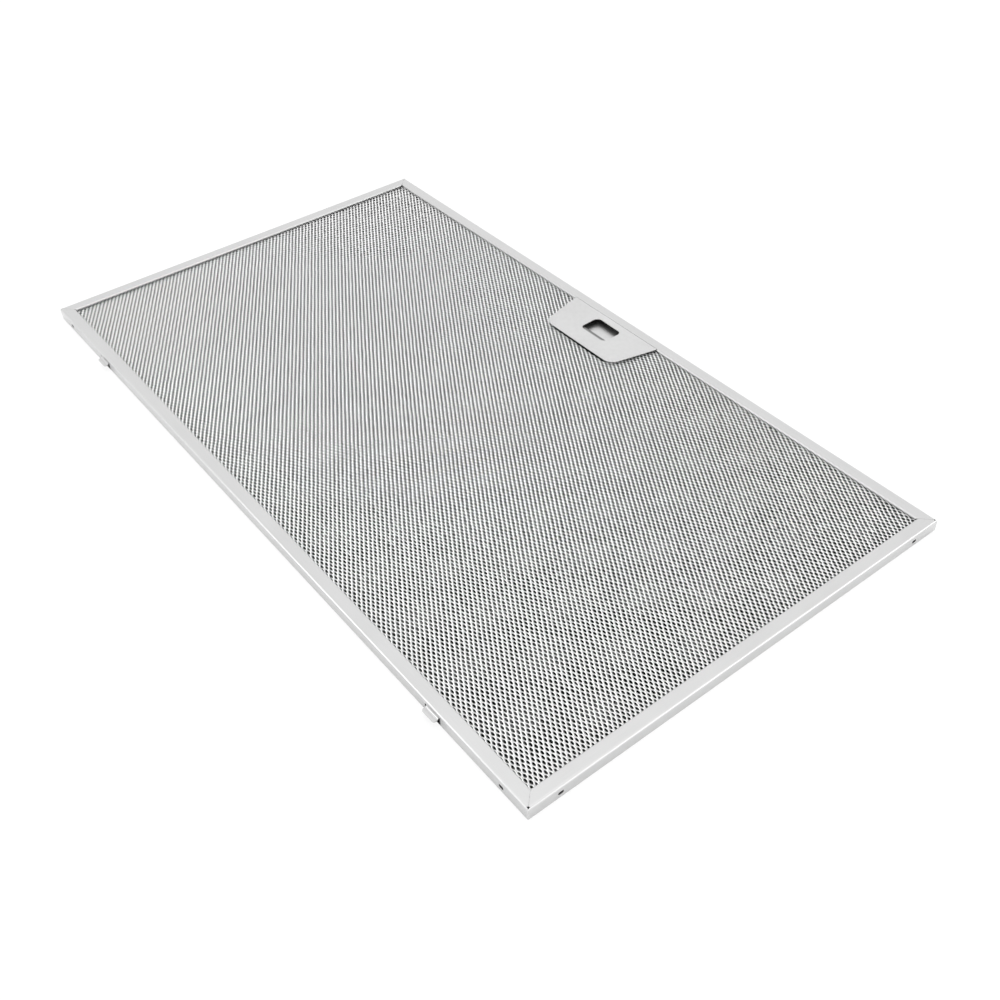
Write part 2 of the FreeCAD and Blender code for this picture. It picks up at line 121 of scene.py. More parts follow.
# Expanded mesh of the two faces
LONG_WAY = 4.07
SHORT_WAY = 2.535
STRAND_WIDTH = 0.86
STRAND_RISE = 0.40
STRAND_DROP = 0.42
STRAND_EDGE = 0.3
STRAND_LIFT = 0.26
BOND_HALF = 0.6
MESH_MARGIN = 2.6
UNEVEN_PLACE = 0.065
UNEVEN_RISE = 0.16
MESH_SEED = 7

# Crimped inner layers: width of the hem under the lips that is painted near-black as shade, and turn of their
# strands
PAINTED_SHADE_HEM_WIDTH = 4.0
INNER_TURN = math.radians(4.0)

# Latch
BAY_GAP = 0.5
LIP_FRONT = 104.9
LIP_BACK = 108.1
SPRING_WIRE = 0.4
SPRING_TURNS = 3
SPRING_STEPS = 24
SPRING_SIDES = 8

# Edges of the pressed pieces, and the angles that part flats, bends and edges
MERGE = 0.001
EDGE_BREAK = 0.12
EDGE_BREAK_STEPS = 2
FLAT_WITHIN = math.radians(1.0)
BREAK_FROM = math.radians(45.0)
SHARP_ON_FRAME = math.radians(28.0)
SHARP_ON_PRESSED = math.radians(50.0)

# Patterns of the finishes, as noise scales per metre, and the depth of their relief
ROLLING_ALONG = 60.0
ROLLING_ACROSS = 9000.0
HANDLING_MARKS = (30.0, 30.0, 30.0)
FOIL_GRAIN = (2200.0, 2200.0, 2200.0)
FOIL_PATCHES = (90.0, 90.0, 90.0)
INNER_PATCHES = (160.0, 160.0, 160.0)
SATIN_GRAIN = (400.0, 400.0, 400.0)
SATIN_CLOUDS = (40.0, 40.0, 40.0)
NOISE_ROUGHNESS = 0.55
RELIEF_DEPTH = 0.02

# Tones of the slider, from the front of its pull lip to the floor behind the crease: painted shade darkens
# the lip and paints a darker shade line at the crease
SLIDER_PAINTED_SHADE_TONES = [(0.0, 0.20), (0.72, 0.22), (0.78, 0.06), (0.94, 0.06), (1.0, 0.56)]

# Tones of the inner layers, all darkened as painted shade of the deep pack: hem under the lips, gaps between
# strands, strands
INNER_PAINTED_SHADE_TONES = [(0.0, 0.01), (0.02, 0.05), (0.6, 0.26)]


def grey(level):
    return (level, level, level, 1.0)


def set_ramp(ramp, stops):
    """Puts stops, each a position and a grey level, on a colour ramp."""
    elements = ramp.color_ramp.elements
    while len(elements) < len(stops):
        elements.new(0.5)
    for element, (position, level) in zip(elements, stops):
        element.position = position
        element.color = grey(level)


class Material:
    """A node material with short calls for its nodes and links."""

    def __init__(self, name):
        self.block = bpy.data.materials.new(name)
        self.block.use_nodes = True
        self.tree = self.block.node_tree
        self.shader = self.tree.nodes["Principled BSDF"]
        self.place = self.node("ShaderNodeTexCoord").outputs["Object"]

    def node(self, kind, **values):
        made = self.tree.nodes.new(kind)
        for name, value in values.items():
            setattr(made, name, value)
        return made

    def link(self, source, target):
        self.tree.links.new(source, target)

    def math(self, operation, *terms):
        made = self.node("ShaderNodeMath", operation=operation)
        for index, term in enumerate(terms):
            if isinstance(term, (int, float)):
                made.inputs[index].default_value = term
            else:
                self.link(term, made.inputs[index])
        return made.outputs[0]

    def axes(self, place):
        """X, Y and Z of a place."""
        made = self.node("ShaderNodeSeparateXYZ")
        self.link(place, made.inputs[0])
        return made.outputs

    def wall_distances(self):
        """How far a point lies inside the frame's short walls and inside its long walls."""
        x, y, _ = self.axes(self.place)
        from_end = self.math("SUBTRACT", HALF_LENGTH * MM, self.math("ABSOLUTE", x))
        from_side = self.math("SUBTRACT", HALF_WIDTH * MM, self.math("ABSOLUTE", y))
        return from_end, from_side

    def noise(self, scale, detail=3.0):
        """Noise over the object's own coordinates, in metres, times a scale per axis."""
        scaled = self.node("ShaderNodeVectorMath", operation="MULTIPLY")
        self.link(self.place, scaled.inputs[0])
        scaled.inputs[1].default_value = scale
        made = self.node("ShaderNodeTexNoise")
        self.link(scaled.outputs[0], made.inputs["Vector"])
        made.inputs["Scale"].default_value = 1.0
        made.inputs["Detail"].default_value = detail
        made.inputs["Roughness"].default_value = NOISE_ROUGHNESS
        return made.outputs["Fac"]

    def weigh(self, first, second, share):
        """Two patterns added up, with the share of the first."""
        first_part = self.math("MULTIPLY", first, share)
        second_part = self.math("MULTIPLY", second, 1.0 - share)
        return self.math("ADD", first_part, second_part)

    def ramp(self, factor, stops):
        made = self.node("ShaderNodeValToRGB")
        set_ramp(made, stops)
        self.link(factor, made.inputs["Fac"])
        return made.outputs["Color"]

    def range(self, factor, low, high, start=0.0, end=1.0):
        """Turns start to end into low to high."""
        made = self.node("ShaderNodeMapRange")
        self.link(factor, made.inputs["Value"])
        for name, value in (("From Min", start), ("From Max", end), ("To Min", low), ("To Max", high)):
            made.inputs[name].default_value = value
        return made.outputs["Result"]

    def blend(self, factor, first, second):
        made = self.node("ShaderNodeMix", data_type="FLOAT")
        self.link(factor, made.inputs["Factor"])
        self.link(first, made.inputs["A"])
        self.link(second, made.inputs["B"])
        return made.outputs["Result"]

    def bump(self, height, strength):
        made = self.node("ShaderNodeBump")
        self.link(height, made.inputs["Height"])
        made.inputs["Strength"].default_value = strength
        made.inputs["Distance"].default_value = RELIEF_DEPTH * MM
        self.link(made.outputs["Normal"], self.shader.inputs["Normal"])

    def finish(self, colour, rough, metal):
        """The finished material, from its colour, its roughness and its share of metal."""
        self.link(colour, self.shader.inputs["Base Color"])
        self.link(rough, self.shader.inputs["Roughness"])
        self.shader.inputs["Metallic"].default_value = metal
        return self.block


def frame_aluminium():
    """Rolled strip: fine lines that follow each side of the frame, with faint handling marks."""
    made = Material("frame_aluminium")
    along = made.noise((ROLLING_ALONG, ROLLING_ACROSS, ROLLING_ACROSS))
    across = made.noise((ROLLING_ACROSS, ROLLING_ALONG, ROLLING_ACROSS))
    on_end = made.math("LESS_THAN", *made.wall_distances())
    lines = made.blend(on_end, along, across)
    marks = made.noise(HANDLING_MARKS, detail=2.0)
    tone = made.weigh(lines, marks, share=0.6)
    made.bump(lines, strength=0.12)
    colour = made.ramp(tone, [(0.25, 0.48), (0.75, 0.54)])
    return made.finish(colour, rough=made.range(tone, 0.27, 0.39), metal=1.0)


def mesh_aluminium():
    """Bright slit and drawn foil: clean metal with a little unevenness from strand to strand."""
    made = Material("mesh_aluminium")
    grain = made.noise(FOIL_GRAIN, detail=2.0)
    patches = made.noise(FOIL_PATCHES, detail=2.0)
    tone = made.weigh(grain, patches, share=0.5)
    colour = made.ramp(tone, [(0.3, 0.92), (0.7, 0.98)])
    return made.finish(colour, rough=made.range(tone, 0.25, 0.37), metal=0.72)


def inner_aluminium():
    """The crimped layers behind the openings: a printed lattice of strands, with the layer, the gaps and a
    hem under the lips darkened as painted shade.
    """
    made = Material("inner_mesh_aluminium")
    turned = made.node("ShaderNodeMapping", vector_type="POINT")
    made.link(made.place, turned.inputs["Vector"])
    turned.inputs["Rotation"].default_value = (0.0, 0.0, INNER_TURN)
    x, y, _ = made.axes(turned.outputs["Vector"])
    rows = made.math("SINE", made.math("MULTIPLY", x, math.tau / (LONG_WAY * MM)))
    columns = made.math("SINE", made.math("MULTIPLY", y, math.tau / (SHORT_WAY * MM)))
    strands = made.range(made.math("MULTIPLY", rows, columns), 0.0, 1.0)
    uneven = made.noise(INNER_PATCHES, detail=2.0)
    # Painted shade: the layers go near-black within a hem by the walls, under the lips.
    from_wall = made.math("MINIMUM", *made.wall_distances())
    beyond_painted_shade_hem = made.math("GREATER_THAN", from_wall, PAINTED_SHADE_HEM_WIDTH * MM)
    tone = made.math("MULTIPLY", made.math("MULTIPLY", strands, uneven), beyond_painted_shade_hem)
    # The tones paint shade: dark strands over near-black gaps, standing in for the shadowed depth of the
    # pack.
    colour = made.ramp(tone, INNER_PAINTED_SHADE_TONES)
    return made.finish(colour, rough=made.range(uneven, 0.45, 0.6), metal=0.4)


def satin_metal(name, dark, light, smooth, rough):
    """Pressed metal with a fine satin grain."""
    made = Material(name)
    grain = made.noise(SATIN_GRAIN, detail=4.0)
    clouds = made.noise(SATIN_CLOUDS, detail=2.0)
    tone = made.weigh(grain, clouds, share=0.5)
    made.bump(grain, strength=0.08)
    colour = made.ramp(tone, [(0.3, dark), (0.7, light)])
    return made.finish(colour, rough=made.range(tone, smooth, rough), metal=1.0)


def slider_zinc():
    """Plated pull slider: smooth, with painted shade on its pull lip and a darker painted shade line at the
    crease behind it that a fingertip catches.
    """
    made = Material("slider_zinc")
    grain = made.noise(SATIN_GRAIN, detail=4.0)
    _, y, _ = made.axes(made.place)
    behind_lip = made.range(y, 0.0, 1.0, start=LIP_FRONT * MM, end=LIP_BACK * MM)
    tint = made.node("ShaderNodeMix", data_type="RGBA", blend_type="MULTIPLY")
    tint.inputs["Factor"].default_value = 1.0
    # The tones along Y paint shade on the pull lip and a darker shade line at the crease.
    made.link(made.ramp(behind_lip, SLIDER_PAINTED_SHADE_TONES), tint.inputs["A"])
    made.link(made.ramp(grain, [(0.3, 0.94), (0.7, 1.0)]), tint.inputs["B"])
    made.bump(grain, strength=0.06)
    return made.finish(tint.outputs["Result"], rough=made.range(grain, 0.30, 0.40), metal=1.0)


def add_object(name, data):
    made = bpy.data.objects.new(name, data)
    bpy.context.scene.collection.objects.link(made)
    return made


def mesh_object(name, points, groups, material):
    """An object from an array of points and arrays of faces, one array for each number of sides."""
    corners = np.concatenate([group.ravel() for group in groups])
    sizes = np.concatenate([np.full(len(group), group.shape[1]) for group in groups])
    data = bpy.data.meshes.new(name)
    data.vertices.add(len(points))
    data.vertices.foreach_set("co", np.asarray(points, np.float32).ravel())
    data.loops.add(len(corners))
    data.loops.foreach_set("vertex_index", corners.astype(np.int32))
    data.polygons.add(len(sizes))
    data.polygons.foreach_set("loop_start", (np.cumsum(sizes) - sizes).astype(np.int32))
    data.polygons.foreach_set("loop_total", sizes.astype(np.int32))
    data.update(calc_edges=True)
    data.validate()
    data.materials.append(material)
    return add_object(name, data)


def place_piece(piece, body, node):
    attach(piece, body)
    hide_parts(node)


def start_edit(data):
    edit = bmesh.new()
    edit.from_mesh(data)
    return edit


def end_edit(edit, data):
    edit.to_mesh(data)
    edit.free()


def bake(piece):
    """Turns the piece's modifiers into its mesh."""
    shown = piece.evaluated_get(bpy.context.evaluated_depsgraph_get())
    made = bpy.data.meshes.new_from_object(shown)
    old = piece.data
    piece.modifiers.clear()
    piece.data = made
    bpy.data.meshes.remove(old)


def smooth_bends(piece, sharp_from):
    """Shades bends round and keeps flats flat."""
    edit = start_edit(piece.data)
    for face in edit.faces:
        face.smooth = True
    for edge in edit.edges:
        edge.smooth = edge.is_manifold and edge.calc_face_angle() < sharp_from
    end_edit(edit, piece.data)
    weighted = piece.modifiers.new("flats", "WEIGHTED_NORMAL")
    weighted.keep_sharp = True
    bake(piece)


def arc(centre, radius, start, end, steps):
    """Points of an arc round a centre, its angles in degrees."""
    angle = np.radians(np.linspace(start, end, steps + 1))
    return np.stack([centre[0] + radius * np.cos(angle), centre[1] + radius * np.sin(angle)], -1)


def strip_line(depth):
    """The channel section, lip to lip, at a depth under the strip's face: insets from the wall and levels."""
    curl = (FLANGE_WIDTH - LIP_RADIUS, FRAME_HEIGHT - LIP_RADIUS)
    bend = (BEND_RADIUS, FRAME_HEIGHT - BEND_RADIUS)
    half = np.concatenate([
        [(FLANGE_WIDTH - depth, FRAME_HEIGHT - LIP_DROP)],
        arc(curl, LIP_RADIUS - depth, 0, 90, BEND_STEPS),
        arc(bend, BEND_RADIUS - depth, 90, 180, BEND_STEPS),
    ])
    return np.concatenate([half, half[::-1] * (1, -1) + (0, FRAME_HEIGHT)])


def seam_line():
    """Half the mitre's opening along the section: a thin seam, wider at the lip and at the bend."""
    share = np.arange(BEND_STEPS + 1) / BEND_STEPS
    notch = np.interp(share, RELIEF_SHARES, (SEAM_HALF, RELIEF_HALF, 0.0))
    lip = np.concatenate([[LIP_OPEN], LIP_OPEN + (SEAM_HALF - LIP_OPEN) * share])
    half = np.concatenate([lip, notch])
    return np.concatenate([half, half[::-1]])


def strip_points_and_faces():
    """The four mitred sides of the channel, as points and four-sided faces."""
    lines = np.stack([strip_line(0.0), strip_line(STRIP)])
    gap = seam_line()
    number = len(gap)
    points = []
    quads = []
    sides = [((0, -1), (1, 0)), ((1, 0), (0, 1)), ((0, 1), (-1, 0)), ((-1, 0), (0, -1))]
    for side, (outward, along) in enumerate(sides):
        away, reach = (HALF_LENGTH, HALF_WIDTH) if outward[0] else (HALF_WIDTH, HALF_LENGTH)
        for end in (-1, 1):
            for inset, level in lines.transpose(0, 2, 1):
                run = end * (reach - inset - gap)
                x = outward[0] * (away - inset) + along[0] * run
                y = outward[1] * (away - inset) + along[1] * run
                points.append(np.stack([x, y, level], -1))
        index = np.arange(4 * number).reshape(2, 2, number) + side * 4 * number
        (start_out, start_in), (end_out, end_in) = index
        quads.append(np.stack([start_out[:-1], end_out[:-1], end_out[1:], start_out[1:]], -1))
        quads.append(np.stack([start_in[1:], end_in[1:], end_in[:-1], start_in[:-1]], -1))
        lips = [0, number - 1]
        quads.append(np.stack([start_out[lips], start_in[lips], end_in[lips], end_out[lips]], -1))
        here = np.nonzero((gap[:-1] > 0) | (gap[1:] > 0))[0]
        for out, back in index:
            quads.append(np.stack([out[here], out[here + 1], back[here + 1], back[here]], -1))
    return np.concatenate(points), np.concatenate(quads)


def rounded_box(low, high, radius, steps=CORNER_STEPS):
    """Outline of a rectangle with rounded corners, counterclockwise."""
    corners = [
        arc((high[0] - radius, low[1] + radius), radius, -90, 0, steps),
        arc((high[0] - radius, high[1] - radius), radius, 0, 90, steps),
        arc((low[0] + radius, high[1] - radius), radius, 90, 180, steps),
        arc((low[0] + radius, low[1] + radius), radius, 180, 270, steps),
    ]
    return np.concatenate(corners)


def add_prism(edit, outline, axis, low, high):
    """A prism on an outline, along axis 0, 1 or 2, between two levels of that axis."""
    others = [other for other in range(3) if other != axis]
    rings = []
    for level in (low, high):
        ring = []
        for pair in outline:
            place = [0.0, 0.0, 0.0]
            place[axis] = level
            place[others[0]], place[others[1]] = pair
            ring.append(edit.verts.new(Vector(place) * MM))
        rings.append(ring)
    edit.faces.new(rings[0])
    edit.faces.new(rings[1])
    for here in range(len(outline)):
        there = (here + 1) % len(outline)
        edit.faces.new([rings[0][here], rings[0][there], rings[1][there], rings[1][here]])


def add_wall_cut(edit, outline, axis, wall):
    """A cut through the wall that stands across an axis."""
    add_prism(edit, outline, axis, wall - CUT_DEPTH / 2, wall + CUT_DEPTH / 2)


def bolt_limits():
    """Left, right and top of the bolt, from the slider's points outside the wall."""
    slider = nodes["latch_slider"]
    points = np.array([slider.matrix_world @ corner.co for corner in slider.data.vertices]) / MM
    bolt = points[points[:, 1] > HALF_WIDTH]
    return bolt[:, 0].min(), bolt[:, 0].max(), bolt[:, 2].max()


def wall_cutter():
    """All that is cut out of the strip: drain slots, hook windows, bolt slot, plate seat and open joint."""
    edit = bmesh.new()
    for axis, away, reach in ((1, HALF_WIDTH, HALF_LENGTH), (0, HALF_LENGTH, HALF_WIDTH)):
        for side in (-1, 1):
            for end in (-1, 1):
                middle = end * (reach - DRAIN_INSET)
                drain = rounded_box((middle - DRAIN_LENGTH / 2, DRAIN_LEVEL - DRAIN_HEIGHT / 2),
                                    (middle + DRAIN_LENGTH / 2, DRAIN_LEVEL + DRAIN_HEIGHT / 2), DRAIN_RADIUS)
                add_wall_cut(edit, drain, axis, side * away)
    window_half = HOOK_WIDTH / 2 + HOOK_RELIEF
    for end in (-1, 1):
        window = rounded_box((end * HOOK_MIDDLE - window_half, HOOK_FLOOR),
                             (end * HOOK_MIDDLE + window_half, HOOK_TOP), WINDOW_RADIUS)
        add_wall_cut(edit, window, 1, -HALF_WIDTH)
    slider_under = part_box("latch_slider")[0].z / MM
    bolt_left, bolt_right, bolt_top = bolt_limits()
    slot = rounded_box((bolt_left - BOLT_SLOT_GAP, slider_under - BOLT_SLOT_GAP),
                       (bolt_right + BOLT_SLOT_GAP, bolt_top + BOLT_SLOT_GAP), WINDOW_RADIUS)
    add_wall_cut(edit, slot, 1, HALF_WIDTH)
    low, high = (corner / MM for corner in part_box("latch_plate"))
    aperture = HALF_WIDTH - FLANGE_WIDTH
    seat = rounded_box((low.x - SEAT_GAP, aperture - STRIP),
                       (high.x + SEAT_GAP, aperture + LIP_RADIUS), NOTCH_RADIUS, steps=1)
    add_prism(edit, seat, 2, FRAME_HEIGHT - LIP_DROP - STRIP, FRAME_HEIGHT + STRIP)
    joint = rounded_box((-HALF_LENGTH - JOINT_GAP, -HALF_WIDTH - JOINT_GAP),
                        (-HALF_LENGTH + JOINT_GAP, -HALF_WIDTH + 2 * STRIP), NOTCH_RADIUS, steps=1)
    add_prism(edit, joint, 2, -STRIP, JOINT_HEIGHT)
    bmesh.ops.recalc_face_normals(edit, faces=edit.faces)
    data = bpy.data.meshes.new("wall_cutter")
    end_edit(edit, data)
    return add_object("wall_cutter", data)


def hook_points_and_faces(end):
    """One tab, bent out of the wall and rounded at its free corners, as points and four-sided faces."""
    tip = -HALF_WIDTH - HOOK_REACH
    centre = (-HALF_WIDTH - HOOK_BEND, HOOK_LEVEL + HOOK_BEND)
    corner = arc((HOOK_WIDTH / 2 - HOOK_CORNER, tip + HOOK_CORNER), HOOK_CORNER, 0, -90, CORNER_STEPS)
    lines = []
    for radius in (HOOK_BEND, HOOK_BEND + STRIP):
        bent = arc(centre, radius, 0, -90, BEND_STEPS)
        root = [(-HALF_WIDTH - HOOK_BEND + radius, HOOK_TOP)]
        flat = np.stack([corner[:, 1], np.full(len(corner), centre[1] - radius)], -1)
        lines.append(np.concatenate([root, bent, flat]))
    half = np.concatenate([np.full(BEND_STEPS + 2, HOOK_WIDTH / 2), corner[:, 0]])
    number = len(half)
    points = []
    for side in (-1, 1):
        for line in lines:
            points.append(np.stack([end * HOOK_MIDDLE + side * half, line[:, 0], line[:, 1]], -1))
    (left_top, left_under), (right_top, right_under) = np.arange(4 * number).reshape(2, 2, number)
    quads = []
    rings = [left_top, right_top, right_under, left_under]
    for here, there in zip(rings, rings[1:] + rings[:1]):
        quads.append(np.stack([here[:-1], there[:-1], there[1:], here[1:]], -1))
    for at in (0, number - 1):
        quads.append(np.array([[ring[at] for ring in rings]]))
    return np.concatenate(points), np.concatenate(quads)


def build_frame(material):
    """The frame with round bends, mitre seams, slots and hook tabs."""
    points, quads = strip_points_and_faces()
    piece = mesh_object("frame_strip", points * MM, [quads], material)
    edit = start_edit(piece.data)
    bmesh.ops.remove_doubles(edit, verts=edit.verts, dist=MERGE * MM)
    bmesh.ops.recalc_face_normals(edit, faces=edit.faces)
    end_edit(edit, piece.data)
    cutter = wall_cutter()
    cut = piece.modifiers.new("openings", "BOOLEAN")
    cut.object = cutter
    cut.solver = "EXACT"
    bake(piece)
    bpy.data.objects.remove(cutter)
    edit = start_edit(piece.data)
    for end in (-1, 1):
        points, quads = hook_points_and_faces(end)
        corners = [edit.verts.new(point * MM) for point in points]
        faces = [edit.faces.new([corners[index] for index in quad]) for quad in quads]
        bmesh.ops.recalc_face_normals(edit, faces=faces)
    end_edit(edit, piece.data)
    smooth_bends(piece, SHARP_ON_FRAME)
    place_piece(piece, "filter", "frame")


def build_softened(node, name, body, material):
    """A CAD solid's own form with its sharp edges broken."""
    source = nodes[node]
    data = source.data.copy()
    data.materials.clear()
    data.materials.append(material)
    piece = bpy.data.objects.new(name, data)
    piece.matrix_world = source.matrix_world
    bpy.context.scene.collection.objects.link(piece)
    edit = start_edit(data)
    bmesh.ops.remove_doubles(edit, verts=edit.verts, dist=MERGE * MM)
    bmesh.ops.dissolve_limit(edit, angle_limit=FLAT_WITHIN, verts=edit.verts, edges=edit.edges)
    sharp = [edge for edge in edit.edges if edge.is_manifold and edge.calc_face_angle() > BREAK_FROM]
    bmesh.ops.bevel(edit, geom=sharp, offset=EDGE_BREAK * MM, segments=EDGE_BREAK_STEPS, profile=0.5,
                    affect="EDGES", clamp_overlap=True)
    end_edit(edit, data)
    smooth_bends(piece, SHARP_ON_PRESSED)
    place_piece(piece, body, node)


class ExpandedSheet:
    """A slit and stretched sheet: zigzag strands, joined at staggered bonds, each tilted like a fish scale.

    Strand k runs along X between bond lines k and k + 1. Its front edge, toward -Y, stands up at the bonds
    that it shares with the next strand, and its back edge lies low at the bonds shared with the one before.
    """

    def __init__(self, node, facing, bond_ends, seed):
        self.low, self.high = (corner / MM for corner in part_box(node))
        self.facing = facing
        self.bond_ends = np.array([(end, 0.0, 0.0) for end in bond_ends])
        self.middle = (self.low.z + self.high.z) / 2 + facing * STRAND_LIFT
        self.half_steps = int(2 * (self.high.x - MESH_MARGIN) / (LONG_WAY / 2))
        self.strands = int(2 * (self.high.y - MESH_MARGIN) / (SHORT_WAY / 2)) - 1
        self.left = -self.half_steps * LONG_WAY / 4
        self.front = -(self.strands + 1) * SHORT_WAY / 4
        draw = np.random.default_rng(seed)
        shape = (self.strands + 2, self.half_steps + 1)
        self.shift_x = draw.normal(0.0, UNEVEN_PLACE, shape)
        self.shift_y = draw.normal(0.0, UNEVEN_PLACE, shape)
        self.lift = draw.normal(0.0, UNEVEN_PLACE, shape)
        self.uneven = 1.0 + draw.normal(0.0, UNEVEN_RISE, shape)

    def sections(self, strand, first, last):
        """Three corners of one strand's section at the ends of each bond, from half step first to last."""
        steps = np.arange(first, last + 1)
        at_own_line = (steps - strand) % 2 == 0
        line = np.where(at_own_line, strand, strand + 1)
        x = self.left + steps * LONG_WAY / 2 + self.shift_x[line, steps]
        y = self.front + line * SHORT_WAY / 2 + self.shift_y[line, steps]
        z = self.lift[line, steps]
        rise = STRAND_RISE * self.uneven[line, steps]
        drop = STRAND_DROP * self.uneven[line, steps]
        front_y = np.where(at_own_line, y, y - STRAND_WIDTH)
        front_z = np.where(at_own_line, z, z + rise)
        back_y = np.where(at_own_line, y + STRAND_WIDTH, y)
        back_z = np.where(at_own_line, z - drop, z)
        front = np.stack([x, front_y, front_z], -1)
        back = np.stack([x, back_y, back_z], -1)
        slope = back - front
        length = np.hypot(slope[:, 1], slope[:, 2])
        inward = np.stack([np.zeros(len(x)), slope[:, 2] / length, -slope[:, 1] / length], -1) * STRAND_EDGE
        corners = np.stack([front, back, front + inward], 1)
        return (corners[:, None] + self.bond_ends[:, None]).reshape(-1, 3, 3)

    def strand_runs(self, strand, bay):
        """The half steps that one strand covers, in one run, or two where the latch bay parts it."""
        whole = (0, self.half_steps)
        if bay is None or self.front + (strand + 1) * SHORT_WAY / 2 < bay[2]:
            return [whole]
        step = LONG_WAY / 2
        before = int((bay[0] - self.left) / step) - 1
        after = int((bay[1] - self.left) / step) + 2
        return [(0, before), (after, self.half_steps)]

    def object(self, name, first, last, bay, material):
        """One object of strands first to last."""
        points = []
        groups = []
        count = 0
        for strand in range(first, last):
            for run in self.strand_runs(strand, bay):
                section = self.sections(strand, *run)
                index = count + np.arange(len(section) * 3).reshape(-1, 3)
                here, there = index[:-1], index[1:]
                for side in range(3):
                    other = (side + 1) % 3
                    quad = [here[:, side], there[:, side], there[:, other], here[:, other]]
                    groups.append(np.stack(quad, -1))
                groups.append(np.stack([index[0], index[-1][::-1]]))
                points.append(section.reshape(-1, 3))
                count += len(section) * 3
        points = np.concatenate(points)
        points[:, 2] *= self.facing
        if self.facing < 0:
            groups = [group[:, ::-1] for group in groups]
        points[:, 2] = np.clip(points[:, 2] + self.middle, self.low.z, self.high.z)
        return mesh_object(name, points * MM, groups, material)


def build_face_mesh(node, facing, bond_ends, parts, bay, material, seed):
    """One face of expanded mesh, in parts from the hook side to the latch side."""
    sheet = ExpandedSheet(node, facing, bond_ends, seed)
    bounds = np.linspace(0, sheet.strands, len(parts) + 1).astype(int)
    for name, first, last in zip(parts, bounds, bounds[1:]):
        place_piece(sheet.object(name, first, last, bay, material), "filter", node)


def build_spring(node, material):
    """A round wire coil in the place of the CAD spring; the real spring shortens as the slider is drawn, but
    this coil is fixed to the filter body.
    """
    low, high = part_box(node)
    centre = (low + high) / 2
    wire = SPRING_WIRE * MM / 2
    coil_radius = (high.x - low.x) / 2 - wire
    start, end = low.y + wire, high.y - wire
    count = SPRING_TURNS * SPRING_STEPS
    turn = np.linspace(0.0, SPRING_TURNS * math.tau, count + 1)[:, None]
    round_wire = np.linspace(0.0, math.tau, SPRING_SIDES, endpoint=False)[None, :]
    reach = coil_radius + wire * np.cos(round_wire)
    x = centre.x + reach * np.sin(turn)
    z = centre.z + reach * np.cos(turn)
    y = start + (end - start) * turn / turn[-1] + wire * np.sin(round_wire)
    points = np.stack([x, y, z], -1).reshape(-1, 3)
    index = np.arange(len(points)).reshape(count + 1, SPRING_SIDES)
    beside = np.roll(index, -1, axis=1)
    quads = np.stack([index[:-1], index[1:], beside[1:], beside[:-1]], -1).reshape(-1, 4)
    wire_ends = np.stack([index[0], index[-1][::-1]])
    piece = mesh_object(f"{node}_coil", points, [quads, wire_ends], material)
    place_piece(piece, "filter", node)
    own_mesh(piece)


def dress(node, material):
    """Gives a CAD solid its material."""
    data = nodes[node].data
    data.materials.clear()
    data.materials.append(material)


def mix_for_camera(tree, lit, seen, share, output):
    """Sends a shader to the output, with a share of another one where it is seen directly."""
    path = tree.nodes.new("ShaderNodeLightPath")
    factor = tree.nodes.new("ShaderNodeMath")
    factor.operation = "MULTIPLY"
    factor.inputs[1].default_value = share
    mix = tree.nodes.new("ShaderNodeMixShader")
    tree.links.new(path.outputs["Is Camera Ray"], factor.inputs[0])
    tree.links.new(factor.outputs[0], mix.inputs["Fac"])
    tree.links.new(lit.outputs[0], mix.inputs[1])
    tree.links.new(seen.outputs[0], mix.inputs[2])
    tree.links.new(mix.outputs[0], tree.nodes[output].inputs["Surface"])


def build_stage():
    """A white floor that keeps the object's shadow."""
    bpy.ops.mesh.primitive_plane_add(size=FLOOR_SIZE, location=(0, 0, 0))
    floor = bpy.context.object
    floor.name = "floor"
    material = bpy.data.materials.new("floor_white")
    material.use_nodes = True
    tree = material.node_tree
    tree.nodes.remove(tree.nodes["Principled BSDF"])
    diffuse = tree.nodes.new("ShaderNodeBsdfDiffuse")
    diffuse.inputs["Color"].default_value = grey(FLOOR_TONE)
    glow = tree.nodes.new("ShaderNodeEmission")
    mix_for_camera(tree, diffuse, glow, FLOOR_WHITE, "Material Output")
    floor.data.materials.append(material)


def build_world(stops):
    """Soft surroundings, brighter overhead, over a white background: stops of elevation and level."""
    world = bpy.data.worlds.new("studio")
    bpy.context.scene.world = world
    world.use_nodes = True
    tree = world.node_tree
    top_level = max(level for elevation, level in stops)
    place = tree.nodes.new("ShaderNodeTexCoord")
    split = tree.nodes.new("ShaderNodeSeparateXYZ")
    tree.links.new(place.outputs["Generated"], split.inputs[0])
    ramp = tree.nodes.new("ShaderNodeValToRGB")
    tree.links.new(split.outputs["Z"], ramp.inputs["Fac"])
    set_ramp(ramp, [(math.sin(math.radians(elevation)), level / top_level) for elevation, level in stops])
    soft = tree.nodes["Background"]
    tree.links.new(ramp.outputs["Color"], soft.inputs["Color"])
    soft.inputs["Strength"].default_value = top_level
    white = tree.nodes.new("ShaderNodeBackground")
    white.inputs["Color"].default_value = grey(1.0)
    white.inputs["Strength"].default_value = 1.0
    mix_for_camera(tree, soft, white, 1.0, "World Output")


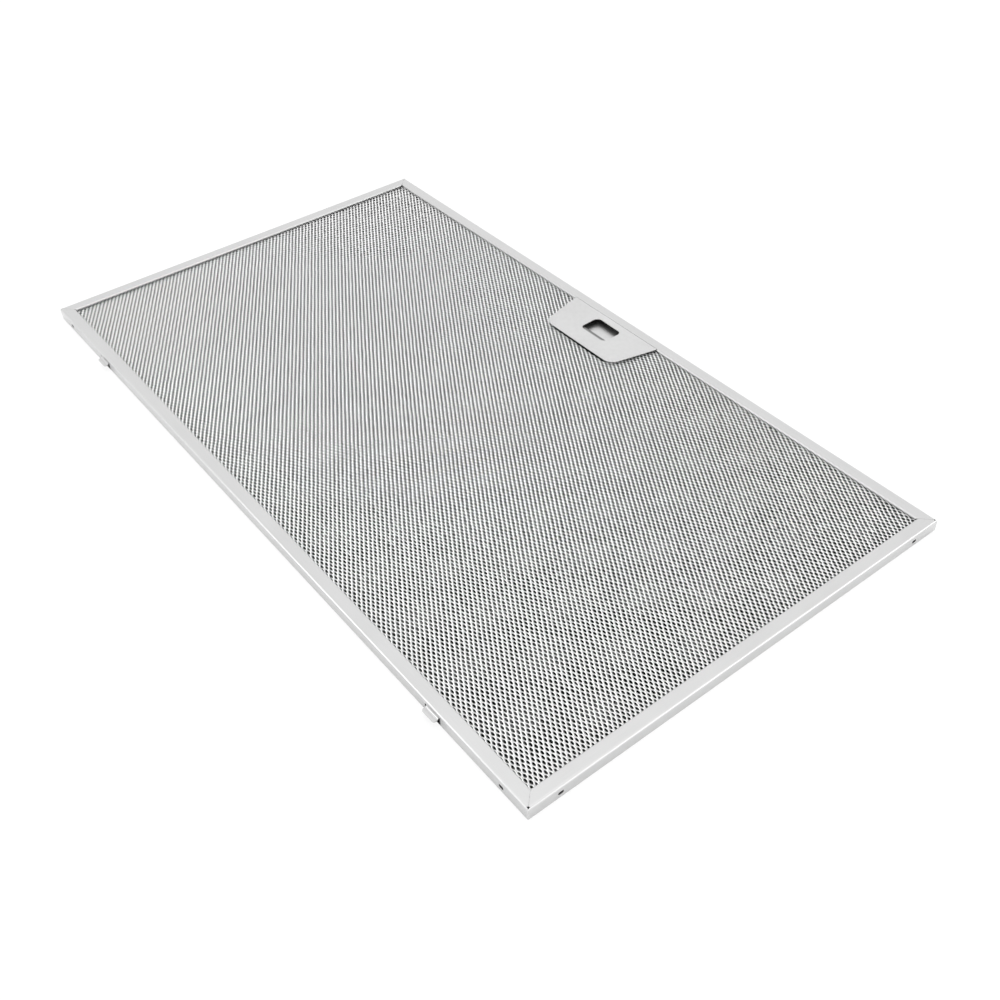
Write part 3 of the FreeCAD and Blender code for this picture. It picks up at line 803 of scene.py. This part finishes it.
def add_softbox(name, direction, width, height, brightness):
    """A rectangular lamp that faces the object."""
    light = bpy.data.lights.new(name, "AREA")
    light.shape = "RECTANGLE"
    light.size = width
    light.size_y = height
    light.energy = brightness * math.pi * width * height
    lamp = add_object(name, light)
    place = Vector(direction) * LAMP_DISTANCE
    lamp.location = place
    lamp.rotation_euler = (-place).to_track_quat("-Z", "Y").to_euler()


def build_camera():
    camera = bpy.data.cameras.new("camera")
    camera.lens = CAMERA_LENS
    camera.sensor_width = CAMERA_SENSOR
    camera.clip_start = CAMERA_NEAR
    view = add_object("camera", camera)
    facing = (CAMERA_AIM - CAMERA_PLACE).to_track_quat("-Z", "Y").to_matrix()
    turned = facing @ Matrix.Rotation(CAMERA_ROLL, 3, "Z")
    view.matrix_world = Matrix.Translation(CAMERA_PLACE) @ turned.to_4x4()
    bpy.context.scene.camera = view


# Frame and face meshes
build_frame(frame_aluminium())
tray_low, tray_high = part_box("latch_tray")
latch_bay = (tray_low.x / MM - BAY_GAP, tray_high.x / MM + BAY_GAP, tray_low.y / MM - BAY_GAP)
mesh_finish = mesh_aluminium()
build_face_mesh("upper_face_mesh", 1, (-BOND_HALF, BOND_HALF),
                ["upper_mesh_hook_side", "upper_mesh_middle", "upper_mesh_latch_side"],
                latch_bay, mesh_finish, MESH_SEED)
build_face_mesh("lower_face_mesh", -1, (0.0,), ["lower_mesh_hook_side", "lower_mesh_latch_side"],
                None, mesh_finish, MESH_SEED + 1)

# Latch
spring_finish = satin_metal("spring_steel", dark=0.35, light=0.45, smooth=0.25, rough=0.35)
for spring in ("latch_spring_left", "latch_spring_right"):
    build_spring(spring, spring_finish)
plate_finish = satin_metal("plate_satin", dark=0.50, light=0.56, smooth=0.37, rough=0.47)
build_softened("latch_plate", "cover_plate", "filter", plate_finish)
build_softened("latch_slider", "slide_bolt", "slider", slider_zinc())
# The tray's near-black tone is painted shade of the cavity under the plate.
dress("latch_tray", satin_metal("tray_steel", dark=0.05, light=0.08, smooth=0.40, rough=0.50))

# Inner layers
inner_finish = inner_aluminium()
for layer in ("inner_mesh_upper", "inner_mesh_middle", "inner_mesh_lower"):
    dress(layer, inner_finish)

# Floor, light and camera
build_stage()
build_world(SKY)
for lamp_name, lamp_values in LAMPS.items():
    add_softbox(lamp_name, *lamp_values)
build_camera()
bpy.context.scene.view_settings.view_transform = "Standard"
